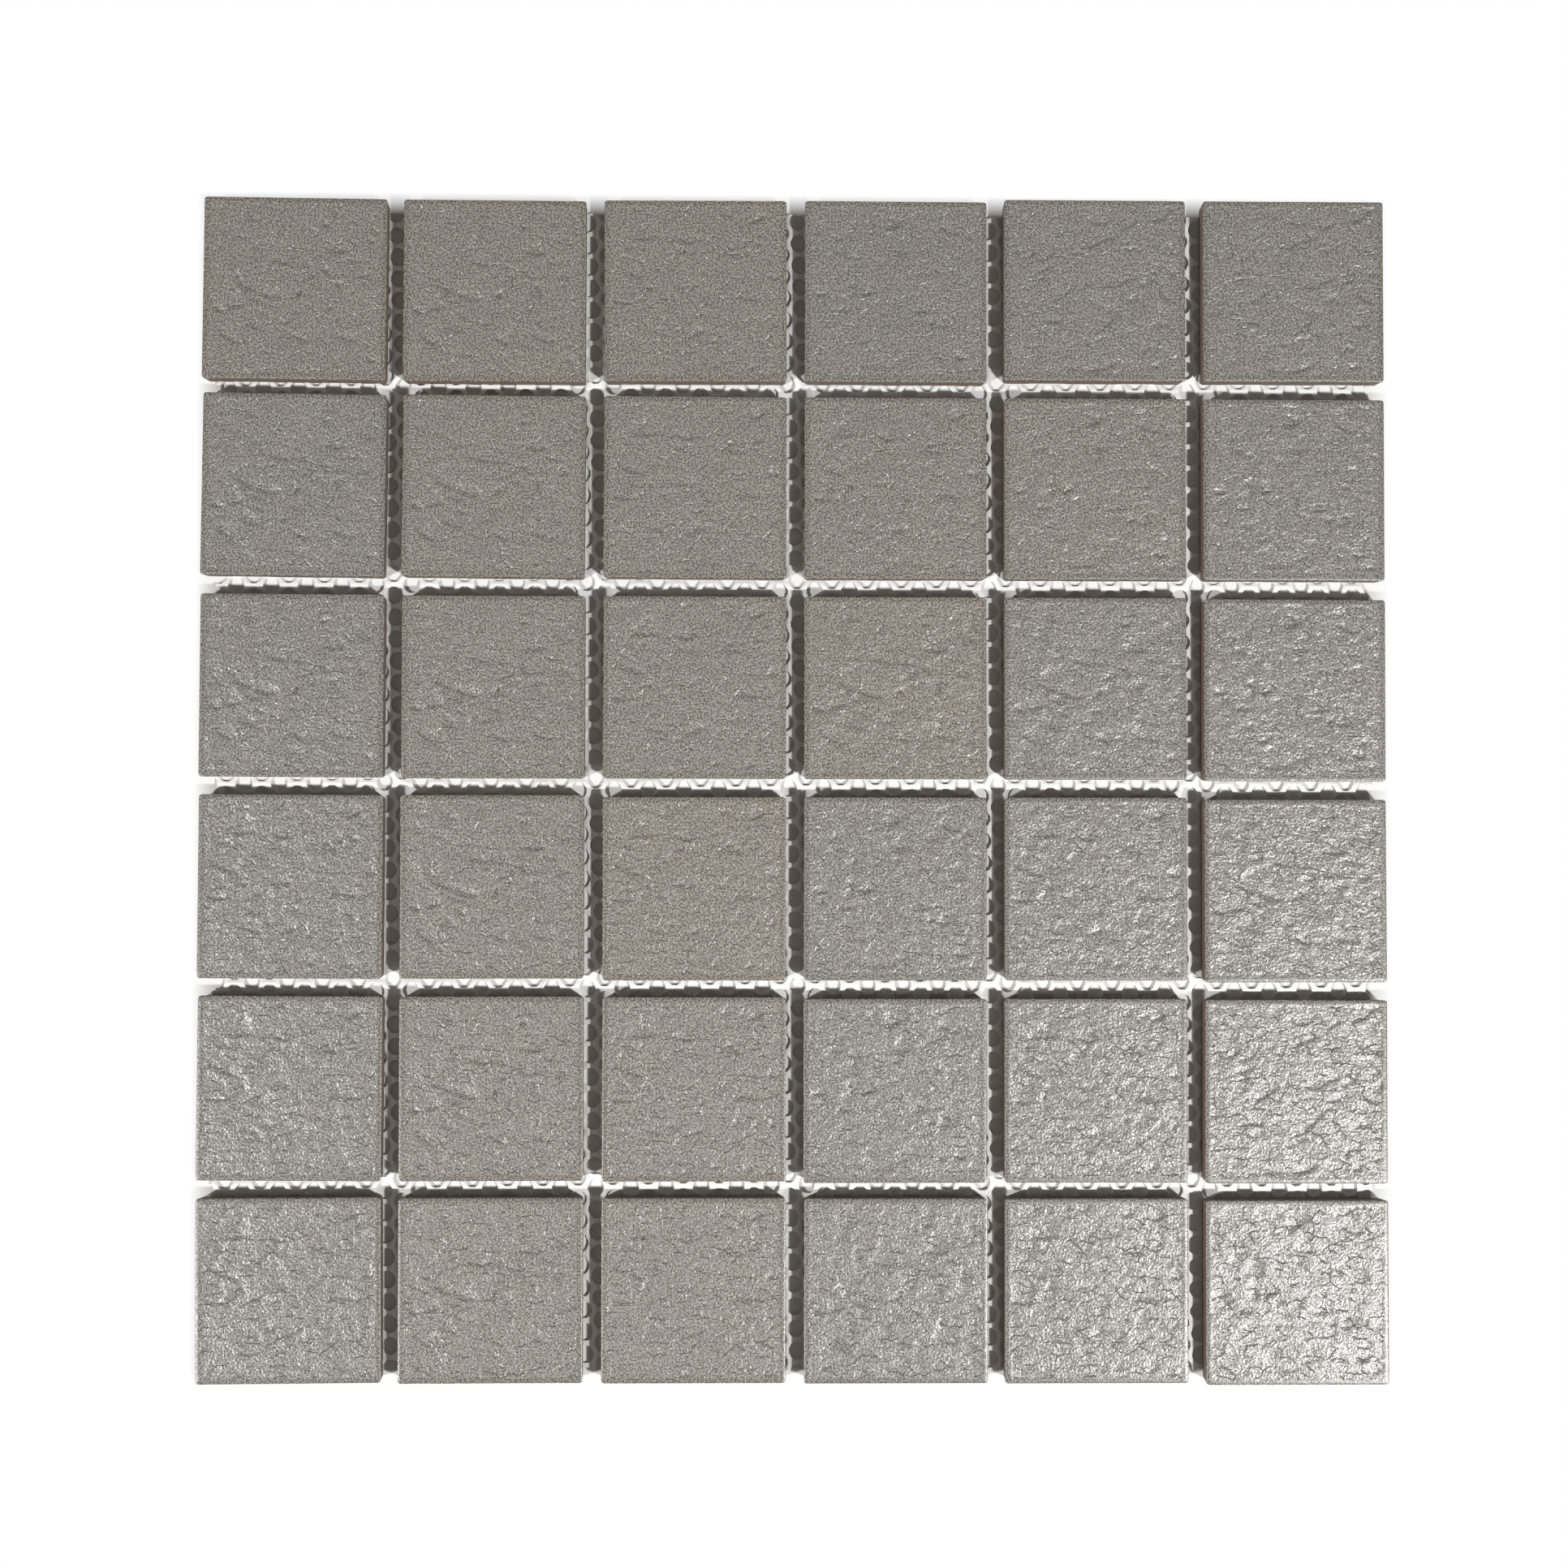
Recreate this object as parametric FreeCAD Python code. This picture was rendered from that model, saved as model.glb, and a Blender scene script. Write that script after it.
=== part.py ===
import FreeCAD, Part
import math
import os

# A 6 by 6 sheet of square porcelain stoneware mosaic tiles, face up, held together by a net
# glued across their backs. Millimetres, +Z up, +Y towards row 1 and -X towards column 1.
# The origin is the middle of the sheet, on the underside of the net.

# The grid
ROWS = 6
COLUMNS = 6
TILE_SIDE = 45.5            # face, edge to edge
JOINT_WIDTH = 4.5           # between two faces, left open for grout

# One tile
TILE_THICKNESS = 6.0
WALL_DRAFT = 0.25           # how far each side wall draws in from the shoulder to the back
CORNER_RADIUS = 0.8         # upright corners, seen from above
EDGE_BEVEL = 0.35           # softened edge between the shoulder and the face

# The riven face: shallow flakes inside a smooth rim
RIM_WIDTH = 1.1
FLAKE_DEPTH = 0.28          # at the step, where a flake bites deepest
FLAKE_SIDES = 4
FLAKE_RUN_OUT = 1.8         # from the deepest corner to where the flake ends, in radii

# Each flake: its middle (x and y) and its radius, all three as shares of half the riven field,
# and the heading in degrees from its deepest corner to where it runs out
FLAKES = [
    (0.02, 0.70, 0.26, 70),
    (0.60, 0.60, 0.29, 118),
    (-0.58, 0.46, 0.31, 80),
    (-0.36, -0.10, 0.28, 105),
    (0.50, 0.02, 0.27, 84),
    (0.36, -0.58, 0.31, 96),
]

# The keyed back: open grooves that the fixing adhesive grips
GROOVE_COUNT = 2
GROOVE_WIDTH = 9.0
GROOVE_DEPTH = 0.45
GROOVE_LIP = 0.4            # how much wider a groove is at its mouth, each side

# The net behind the tiles, drawn as a plain sheet of its true outline
NET_THICKNESS = 0.35
NET_INSET = 2.75            # from the outer tile faces to the net's cut edge

# How far a cutting tool stands clear of the surface that it cuts through
OVERCUT = 1.0

PITCH = TILE_SIDE + JOINT_WIDTH


def rounded_square(side, radius, z):
    """A closed wire: a square about the Z axis at height z, with rounded corners."""
    half = side / 2
    flat = half - radius
    bend = radius * math.sqrt(0.5)
    edges = []
    for quarter in range(4):
        turn = FreeCAD.Rotation(FreeCAD.Vector(0, 0, 1), 90 * quarter)
        start = turn.multVec(FreeCAD.Vector(half, -flat, z))
        end = turn.multVec(FreeCAD.Vector(half, flat, z))
        middle = turn.multVec(FreeCAD.Vector(flat + bend, flat + bend, z))
        after = turn.multVec(FreeCAD.Vector(flat, half, z))
        edges.append(Part.LineSegment(start, end).toShape())
        edges.append(Part.Arc(end, middle, after).toShape())
    return Part.Wire(edges)


def rounded_plate(side, radius, bottom, thickness):
    """A flat plate with rounded corners, standing on height bottom."""
    outline = Part.Face(rounded_square(side, radius, bottom))
    return outline.extrude(FreeCAD.Vector(0, 0, thickness))


def tile_body():
    """The pressed blank: walls drawn in towards the back, and a bevel from shoulder to face."""
    shoulder_height = TILE_THICKNESS - EDGE_BEVEL
    back = rounded_square(TILE_SIDE - 2 * WALL_DRAFT, CORNER_RADIUS, 0)
    shoulder = rounded_square(TILE_SIDE, CORNER_RADIUS, shoulder_height)
    face = rounded_square(TILE_SIDE - 2 * EDGE_BEVEL, CORNER_RADIUS, TILE_THICKNESS)
    return Part.makeLoft([back, shoulder, face], True, True)


def flake_tool(x, y, radius, heading):
    """A tipped block: its floor is FLAKE_DEPTH deep at one corner and comes out at the face."""
    corners = []
    for index in range(FLAKE_SIDES + 1):
        angle = 2 * math.pi * index / FLAKE_SIDES + math.pi
        corners.append(FreeCAD.Vector(radius * math.cos(angle), radius * math.sin(angle), 0))
    outline = Part.Face(Part.makePolygon(corners))
    tool = outline.extrude(FreeCAD.Vector(0, 0, FLAKE_DEPTH + OVERCUT))
    slope = FLAKE_DEPTH / (FLAKE_RUN_OUT * radius)
    middle = FreeCAD.Vector(x, y, TILE_THICKNESS - FLAKE_DEPTH + slope * radius)
    tip = FreeCAD.Rotation(FreeCAD.Vector(0, 1, 0), -math.degrees(math.atan(slope)))
    turn = FreeCAD.Rotation(FreeCAD.Vector(0, 0, 1), heading)
    tool.Placement = FreeCAD.Placement(middle, turn * tip)
    return tool


def riven_tools():
    """All flakes of the face, kept inside the smooth rim."""
    field_side = TILE_SIDE - 2 * RIM_WIDTH
    field_bottom = TILE_THICKNESS - 2 * FLAKE_DEPTH
    field = rounded_plate(field_side, CORNER_RADIUS, field_bottom, 2 * (FLAKE_DEPTH + OVERCUT))
    half = field_side / 2
    tools = []
    for share_x, share_y, share_radius, heading in FLAKES:
        tool = flake_tool(share_x * half, share_y * half, share_radius * half, heading)
        tools.append(tool.common(field))
    return tools


def groove_tools():
    """Grooves across the back, evenly spread, wider at the mouth so that the die lets go."""
    spacing = TILE_SIDE / GROOVE_COUNT
    floor = GROOVE_WIDTH / 2
    mouth = floor + GROOVE_LIP
    slope = GROOVE_LIP / GROOVE_DEPTH
    below = mouth + slope * OVERCUT
    reach = TILE_SIDE / 2 + OVERCUT
    tools = []
    for index in range(GROOVE_COUNT):
        x = (index - (GROOVE_COUNT - 1) / 2) * spacing
        section = Part.makePolygon([
            FreeCAD.Vector(x - below, -reach, -OVERCUT),
            FreeCAD.Vector(x + below, -reach, -OVERCUT),
            FreeCAD.Vector(x + floor, -reach, GROOVE_DEPTH),
            FreeCAD.Vector(x - floor, -reach, GROOVE_DEPTH),
            FreeCAD.Vector(x - below, -reach, -OVERCUT),
        ])
        tools.append(Part.Face(section).extrude(FreeCAD.Vector(0, 2 * reach, 0)))
    return tools


def mosaic_tile():
    """One tile with its back on height zero."""
    return tile_body().cut(riven_tools() + groove_tools())


def backing_net():
    """The net's sheet, cut a little smaller than the block of tiles so that it stays out of sight."""
    size_x = COLUMNS * PITCH - JOINT_WIDTH - 2 * NET_INSET
    size_y = ROWS * PITCH - JOINT_WIDTH - 2 * NET_INSET
    corner = FreeCAD.Vector(-size_x / 2, -size_y / 2, 0)
    return Part.makeBox(size_x, size_y, NET_THICKNESS, corner)


def tile_place(row, column):
    """The middle of a tile's back: rows run down from +Y, columns run across from -X."""
    x = (column - (COLUMNS + 1) / 2) * PITCH
    y = ((ROWS + 1) / 2 - row) * PITCH
    return FreeCAD.Vector(x, y, NET_THICKNESS)


def main():
    os.makedirs("parts", exist_ok=True)
    tile = mosaic_tile()
    for row in range(1, ROWS + 1):
        for column in range(1, COLUMNS + 1):
            placed = tile.translated(tile_place(row, column))
            placed.exportStep("parts/tile_r%d_c%d.step" % (row, column))
    backing_net().exportStep("parts/backing_net.step")


main()
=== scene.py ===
import math
import random

import bmesh
import bpy
import numpy as np
from mathutils import Matrix, Vector, noise


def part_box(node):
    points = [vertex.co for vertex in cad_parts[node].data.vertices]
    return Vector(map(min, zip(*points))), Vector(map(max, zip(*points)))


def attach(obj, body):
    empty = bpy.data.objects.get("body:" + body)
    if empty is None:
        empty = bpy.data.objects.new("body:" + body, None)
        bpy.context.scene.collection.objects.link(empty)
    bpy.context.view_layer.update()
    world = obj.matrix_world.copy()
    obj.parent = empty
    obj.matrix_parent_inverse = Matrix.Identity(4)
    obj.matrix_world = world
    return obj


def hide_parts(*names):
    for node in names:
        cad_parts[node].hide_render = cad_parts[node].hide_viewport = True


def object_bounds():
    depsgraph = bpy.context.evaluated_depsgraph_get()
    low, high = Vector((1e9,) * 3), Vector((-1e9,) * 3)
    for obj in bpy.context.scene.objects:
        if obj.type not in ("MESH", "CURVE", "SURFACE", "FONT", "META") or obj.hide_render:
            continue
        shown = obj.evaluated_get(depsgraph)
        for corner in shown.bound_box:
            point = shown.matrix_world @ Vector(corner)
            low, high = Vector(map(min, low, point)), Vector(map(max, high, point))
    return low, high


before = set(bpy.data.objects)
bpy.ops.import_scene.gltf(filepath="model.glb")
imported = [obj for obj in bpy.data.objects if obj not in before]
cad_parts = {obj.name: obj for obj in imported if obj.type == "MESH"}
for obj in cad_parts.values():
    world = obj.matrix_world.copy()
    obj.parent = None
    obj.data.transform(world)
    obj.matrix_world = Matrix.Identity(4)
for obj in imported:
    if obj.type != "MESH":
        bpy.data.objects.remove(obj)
cad_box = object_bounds()

MM = 0.001

# The sheet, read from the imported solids

FIRST_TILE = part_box("tile_r1_c1")
NET_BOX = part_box("backing_net")
TILE_SIDE = (FIRST_TILE[1][0] - FIRST_TILE[0][0]) / MM
TILE_THICKNESS = (FIRST_TILE[1][2] - FIRST_TILE[0][2]) / MM
NET_THICKNESS = (NET_BOX[1][2] - NET_BOX[0][2]) / MM

# Which of the four pressed reliefs each tile has: a letter for each column, row 1 first
LAYOUT = ["AABCDD", "AABBCC", "AABAAC", "BABCBA", "BABCBD", "BABABC"]

# How tiles sit askew in the net: (row, column) to millimetres along x and y, and degrees
ASKEW = {
    (1, 1): (0.0, -0.7, -0.5),
    (1, 2): (-0.1, -1.0, -0.2),
    (1, 3): (0.0, -0.75, 0.15),
    (1, 4): (0.05, -0.65, -0.1),
    (2, 1): (0.0, 0.25, -0.6),
    (2, 2): (-0.1, 0.05, -0.45),
    (2, 3): (0.0, 0.0, -0.2),
    (3, 1): (0.0, 0.25, -0.25),
    (3, 6): (0.0, -0.3, -0.1),
    (4, 1): (0.1, 0.4, -0.2),
    (4, 2): (-0.1, 0.4, 0.1),
    (4, 6): (0.0, -0.4, 0.1),
    (5, 1): (0.25, 0.6, -0.3),
    (5, 2): (-0.05, 0.5, 0.1),
    (5, 3): (0.1, 0.35, 0.0),
    (5, 6): (0.0, -0.3, -0.15),
    (6, 1): (0.3, 0.9, 0.4),
    (6, 2): (0.0, 0.85, 0.1),
    (6, 3): (0.1, 0.75, 0.0),
    (6, 4): (0.2, 0.6, 0.0),
    (6, 5): (0.0, 0.5, 0.0),
}

# The most by which the other tiles sit askew
LEAST_ASKEW_MM = 0.05
LEAST_ASKEW_DEG = 0.06

# Tiles from a greyer and from a browner firing than the rest: row and column
GREYER_TILES = [
    (1, 4), (1, 5), (1, 6), (2, 1), (2, 6), (3, 1), (3, 5), (3, 6), (4, 1), (4, 4),
    (4, 5), (4, 6), (5, 1), (5, 4), (5, 5), (5, 6), (6, 1), (6, 4), (6, 5), (6, 6),
]
BROWNER_TILES = [(3, 4), (4, 3)]

# One tile's form, in millimetres

RIM_WIDTH = 1.0             # plain band between the edge and the riven field
RIM_FALL = 0.6              # over which the rim passes into the field
RIM_PILLOW = 0.12           # how far the rim's outer side falls to the edge
FIELD_DEPTH = 0.08          # how far the field's mean level lies below the rim
LEAST_DEPTH = 0.01          # and how far its highest points do
EDGE_ROUND = 0.16
CORNER_RADIUS = 0.8
WALL_DRAFT = 0.25
EDGE_RINGS = [0.0, 0.03, 0.08, 0.16, 0.35, 0.65]    # rows of points, from the edge inwards
FIELD_STEPS = 92            # cells across the rest of the face
GROOVE_COUNT = 2
GROOVE_WIDTH = 9.0
GROOVE_DEPTH = 0.45
GROOVE_LIP = 0.4

# A flake scar, in millimetres
SCAR_SHARE = 0.68           # how much of the listed depths is pressed into the face
STEP_WIDTH = 0.3            # over which the surface drops
NICK_WIDTH = 0.24           # half width of the crease at the foot of the step
NICK_OFF = 0.1              # from the step's foot to the middle of the crease
NICK_SHARE = 0.4            # the crease's depth as a share of the step's
LEAST_RUN_OUT = 0.7         # how far the low side takes to come up again
RUN_OUT_SHARE = 0.3         # and how much more of that for each millimetre of the scar's length
SCAR_TAPER = 0.6            # how a scar fades towards its ends: less is blunter
SCAR_PIECES = 12            # straight pieces that stand for a scar's curve

# Hammered dimples: cell size along x and y, and depth, in millimetres
DIMPLES = [(4.2, 3.0, 0.09), (1.9, 1.4, 0.033), (1.0, 0.8, 0.02)]
DIMPLE_WARP = 0.35          # how far the cells are pulled out of shape, in cells
DIMPLE_FULLNESS = 1.6       # how steeply a bowl rises to its crests
SWELL_SIZE = (11, 8)        # the slow swell under them, along x and y
SWELL_HEIGHT = 0.06
RELIEF_SEED_STEP = 11.0     # from one relief's dimples and swell to the next one's, in the noise

SHARP_EDGE_DEG = 50         # edges with a sharper turn than this are shown sharp
FACET_LEAN = 0.065          # how far a fused grain's facet leans, as a slope

# The scars of each relief, as they lie on the real faces, in millimetres. A scar is a curved
# step: x and y of its left end and of its right end from the face's top left corner, how far its
# middle bows down, and its depth. It drops on its upper side, or on its lower one if the depth
# is negative.
RELIEF_A = [
    (30.0, 12.6, 36.2, 12.9, 0.7, 0.34), (16.4, 15.4, 22.4, 16.6, 0.3, 0.30),
    (22.4, 16.4, 27.8, 16.9, 0.2, 0.16), (8.0, 21.4, 13.4, 23.7, 0.1, 0.30),
    (13.0, 23.6, 19.8, 24.8, 0.6, 0.30), (2.0, 27.7, 5.3, 28.5, 0.2, 0.36),
    (5.8, 27.8, 10.4, 26.8, 0.3, 0.34), (9.8, 31.8, 15.4, 33.4, 0.1, 0.24),
    (3.4, 33.2, 10.6, 36.6, 0.9, 0.34), (22.8, 34.5, 26.5, 36.4, 0.2, 0.34),
    (31.8, 33.8, 36.4, 35.7, 0.2, 0.26), (36.0, 35.6, 39.0, 35.3, 0.2, 0.18),
    (33.0, 21.0, 34.4, 22.9, 0.1, 0.32), (38.2, 19.4, 42.0, 18.6, 0.6, 0.26),
    (29.2, 17.5, 32.0, 19.6, 0.2, 0.24), (23.8, 20.8, 28.8, 18.7, 0.3, 0.22),
    (11.0, 25.4, 15.2, 26.4, -0.1, 0.22), (13.4, 28.2, 16.2, 29.8, 0.2, 0.28),
    (21.0, 28.5, 24.8, 28.8, -0.1, 0.24), (19.6, 31.4, 22.6, 30.9, 0.1, 0.22),
    (33.0, 29.8, 35.0, 30.8, 0.2, 0.30), (40.6, 39.4, 42.4, 41.2, 0.1, 0.32),
    (9.8, 5.3, 14.2, 6.1, 0.1, 0.20), (36.2, 5.5, 38.6, 6.0, 0.2, 0.22),
    (29.0, 6.8, 32.0, 6.2, 0.3, 0.20), (12.3, 12.9, 14.0, 13.1, 0.2, 0.26),
    (40.7, 10.6, 42.5, 10.4, 0.4, 0.26), (4.0, 5.0, 6.6, 5.0, 0.1, 0.14),
    (35.0, 15.5, 41.0, 15.8, 0.3, 0.14), (25.5, 42.8, 20.0, 42.2, -0.5, 0.12),
    (4.0, 6.6, 5.2, 8.6, 0.2, -0.22), (7.0, 9.8, 11.8, 11.3, -0.5, -0.22),
    (11.8, 14.9, 15.0, 14.6, -0.4, -0.26), (21.5, 24.9, 27.9, 21.6, -0.2, -0.26),
    (27.6, 21.7, 31.6, 20.8, -0.1, -0.22), (31.4, 20.7, 34.4, 24.5, -0.4, -0.30),
    (7.5, 20.5, 17.6, 16.2, -0.5, -0.24), (38.2, 22.1, 42.0, 21.2, -0.3, -0.24),
    (33.0, 30.7, 37.6, 31.6, 0.5, -0.22), (40.2, 6.7, 43.0, 9.3, -0.7, -0.24),
    (18.7, 5.3, 21.7, 1.7, -0.3, -0.22), (30.2, 2.1, 33.0, 4.3, -0.4, -0.24),
    (3.5, 35.8, 12.2, 38.8, -0.4, -0.28), (9.8, 29.4, 14.2, 31.6, 0.2, -0.22),
    (21.0, 29.3, 25.6, 31.0, -0.5, -0.20), (27.0, 35.2, 30.4, 36.3, -0.5, -0.24),
    (39.4, 35.8, 42.6, 38.0, -0.3, -0.24), (21.4, 39.2, 26.4, 40.8, -0.9, -0.22),
    (30.6, 26.6, 32.0, 28.4, -0.1, -0.22), (9.9, 22.7, 10.9, 25.0, -0.2, -0.22),
    (17.6, 30.2, 23.6, 33.3, 0.3, -0.18),
]
RELIEF_B = [
    (18.0, 9.2, 23.2, 10.0, 1.0, 0.36), (6.2, 9.7, 13.8, 9.2, 0.2, 0.24),
    (4.6, 12.0, 7.8, 11.8, 0.1, 0.20), (9.1, 11.9, 11.0, 11.9, 0.1, 0.24),
    (2.9, 16.5, 5.4, 17.4, 0.2, 0.22), (4.6, 18.4, 10.4, 20.0, -0.2, 0.32),
    (10.6, 17.4, 14.2, 17.4, 0.1, 0.20), (10.0, 21.9, 12.4, 22.0, 0.2, 0.36),
    (1.5, 25.2, 6.8, 25.7, 0.3, 0.36), (16.6, 22.0, 23.4, 21.6, 0.2, 0.22),
    (36.1, 5.6, 40.2, 4.3, 0.1, 0.34), (30.8, 11.9, 32.7, 12.0, 0.2, 0.34),
    (33.8, 11.7, 35.8, 11.2, 0.1, 0.24), (37.4, 11.3, 39.5, 10.8, 0.1, 0.26),
    (32.1, 13.8, 34.9, 13.8, 0.1, 0.22), (40.6, 18.8, 44.0, 19.3, 0.5, 0.34),
    (32.6, 24.3, 40.2, 25.2, 0.2, 0.26), (21.4, 34.1, 24.8, 32.4, 0.2, 0.32),
    (10.6, 32.8, 15.4, 33.8, 0.2, 0.24), (15.8, 32.0, 18.6, 31.7, 0.1, 0.22),
    (27.0, 41.6, 29.0, 42.1, 0.2, 0.30), (35.0, 42.6, 38.5, 41.6, 0.1, 0.26),
    (24.2, 26.2, 26.2, 25.7, 0.1, 0.22), (41.4, 32.0, 43.3, 31.0, 0.1, 0.26),
    (35.0, 34.5, 36.5, 33.9, 0.1, 0.28), (28.0, 34.0, 29.8, 33.8, 0.2, 0.22),
    (29.4, 3.7, 32.0, 4.0, 0.2, 0.22), (34.0, 4.4, 36.0, 4.4, 0.2, 0.20),
    (9.9, 3.4, 11.8, 3.6, 0.1, 0.20), (28.4, 13.2, 30.6, 13.3, 0.2, 0.18),
    (8.4, 7.0, 9.3, 8.7, 0.1, -0.26), (9.2, 8.6, 11.8, 4.7, 0.0, -0.22),
    (16.9, 3.9, 22.6, 1.7, -0.5, -0.22), (15.1, 16.3, 19.7, 13.2, -0.4, -0.26),
    (19.4, 13.4, 20.6, 11.3, 0.1, -0.22), (21.7, 14.1, 23.4, 11.0, -0.1, -0.22),
    (3.9, 15.4, 7.3, 13.9, -0.6, -0.24), (7.4, 25.7, 11.1, 22.9, 0.3, -0.30),
    (11.0, 23.1, 12.6, 22.5, -0.1, -0.26), (13.0, 25.6, 17.4, 23.4, 0.5, -0.30),
    (5.7, 19.9, 7.3, 24.2, -0.1, -0.26), (28.6, 22.9, 33.3, 19.3, -0.3, -0.22),
    (29.4, 18.9, 30.4, 16.3, 0.0, -0.20), (17.1, 36.4, 22.2, 34.6, -0.2, -0.30),
    (22.0, 34.7, 26.8, 31.8, 0.2, -0.32), (23.5, 27.4, 24.5, 29.7, 0.1, -0.20),
    (3.0, 43.0, 6.2, 40.9, 0.0, -0.18), (37.4, 31.7, 39.5, 30.4, 0.0, -0.28),
    (32.2, 32.4, 34.5, 27.7, -0.2, -0.22), (31.0, 12.7, 32.0, 14.3, 0.2, -0.24),
    (14.6, 34.8, 15.8, 33.8, 0.0, -0.22), (23.9, 39.5, 25.1, 41.8, -0.2, -0.20),
    (35.9, 5.9, 36.2, 8.2, 0.0, -0.18), (6.4, 3.4, 7.8, 2.5, -0.1, -0.22),
]
RELIEF_C = [
    (19.8, 5.9, 24.6, 5.7, 0.6, 0.36), (19.9, 3.5, 26.2, 4.7, 0.9, 0.24),
    (33.6, 6.1, 36.4, 8.1, 0.1, 0.36), (36.2, 8.1, 39.0, 7.9, 0.1, 0.32),
    (6.8, 12.7, 11.0, 12.7, 0.3, 0.24), (2.2, 23.0, 6.2, 22.9, 0.8, 0.36),
    (14.2, 23.7, 17.6, 22.6, 0.1, 0.34), (10.9, 20.9, 12.6, 22.3, 0.0, 0.34),
    (8.4, 27.4, 11.8, 27.5, 0.2, 0.34), (21.8, 12.1, 26.9, 12.5, 0.5, 0.32),
    (11.0, 13.7, 13.0, 14.4, 0.1, 0.28), (30.5, 31.0, 33.1, 30.2, 0.1, 0.34),
    (33.2, 31.2, 36.9, 30.8, 0.4, 0.26), (37.3, 39.0, 40.5, 39.5, 0.1, 0.32),
    (3.1, 37.2, 4.2, 37.9, 0.1, 0.30), (14.2, 41.8, 23.4, 41.6, 0.5, 0.20),
    (41.0, 42.2, 43.3, 42.3, 0.2, 0.26), (25.8, 27.8, 32.0, 27.4, 0.3, 0.20),
    (35.0, 21.6, 37.0, 22.4, 0.2, 0.22), (42.2, 13.9, 44.0, 15.1, 0.1, 0.26),
    (13.4, 35.8, 15.8, 35.2, 0.2, 0.24), (22.2, 15.6, 24.2, 15.4, 0.2, 0.24),
    (3.1, 7.7, 5.1, 8.7, 0.1, 0.24), (19.9, 13.0, 21.3, 14.1, 0.1, 0.22),
    (23.0, 40.2, 26.2, 39.4, 0.3, 0.20), (40.2, 8.3, 41.8, 9.7, 0.1, 0.24),
    (31.8, 18.7, 33.8, 17.9, 0.1, 0.20), (19.5, 2.5, 26.1, 1.5, -0.9, -0.24),
    (22.2, 5.6, 24.6, 5.1, 0.1, -0.20), (23.1, 10.9, 26.5, 8.9, -0.3, -0.24),
    (34.9, 18.3, 40.1, 17.1, -0.3, -0.32), (9.5, 14.1, 11.0, 13.7, -0.2, -0.28),
    (10.9, 13.8, 14.6, 15.7, 0.1, -0.30), (11.0, 16.3, 13.8, 15.9, -0.1, -0.28),
    (3.4, 26.1, 6.6, 24.1, -0.1, -0.32), (17.0, 25.9, 19.8, 24.9, -0.1, -0.32),
    (21.4, 14.5, 25.0, 13.7, -0.3, -0.24), (24.6, 29.4, 28.9, 29.3, -0.1, -0.22),
    (33.4, 30.8, 38.5, 28.8, -0.4, -0.26), (9.0, 31.8, 14.2, 31.7, -0.2, -0.22),
    (38.2, 9.8, 40.2, 9.5, -0.1, -0.24), (35.7, 11.1, 37.7, 10.7, 0.0, -0.26),
    (32.5, 3.9, 38.6, 3.2, -0.7, -0.20), (17.8, 28.7, 21.4, 28.2, -0.2, -0.18),
    (39.4, 35.8, 41.3, 35.2, -0.1, -0.28), (32.6, 39.8, 35.3, 39.4, -0.1, -0.24),
    (15.0, 38.5, 17.4, 36.8, 0.0, -0.26), (11.5, 22.3, 12.9, 24.4, 0.0, -0.32),
    (7.5, 10.2, 9.5, 9.8, -0.2, -0.18), (16.0, 4.0, 18.6, 3.6, -0.2, -0.22),
    (25.4, 24.6, 30.0, 23.2, -0.2, -0.12),
]
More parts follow.
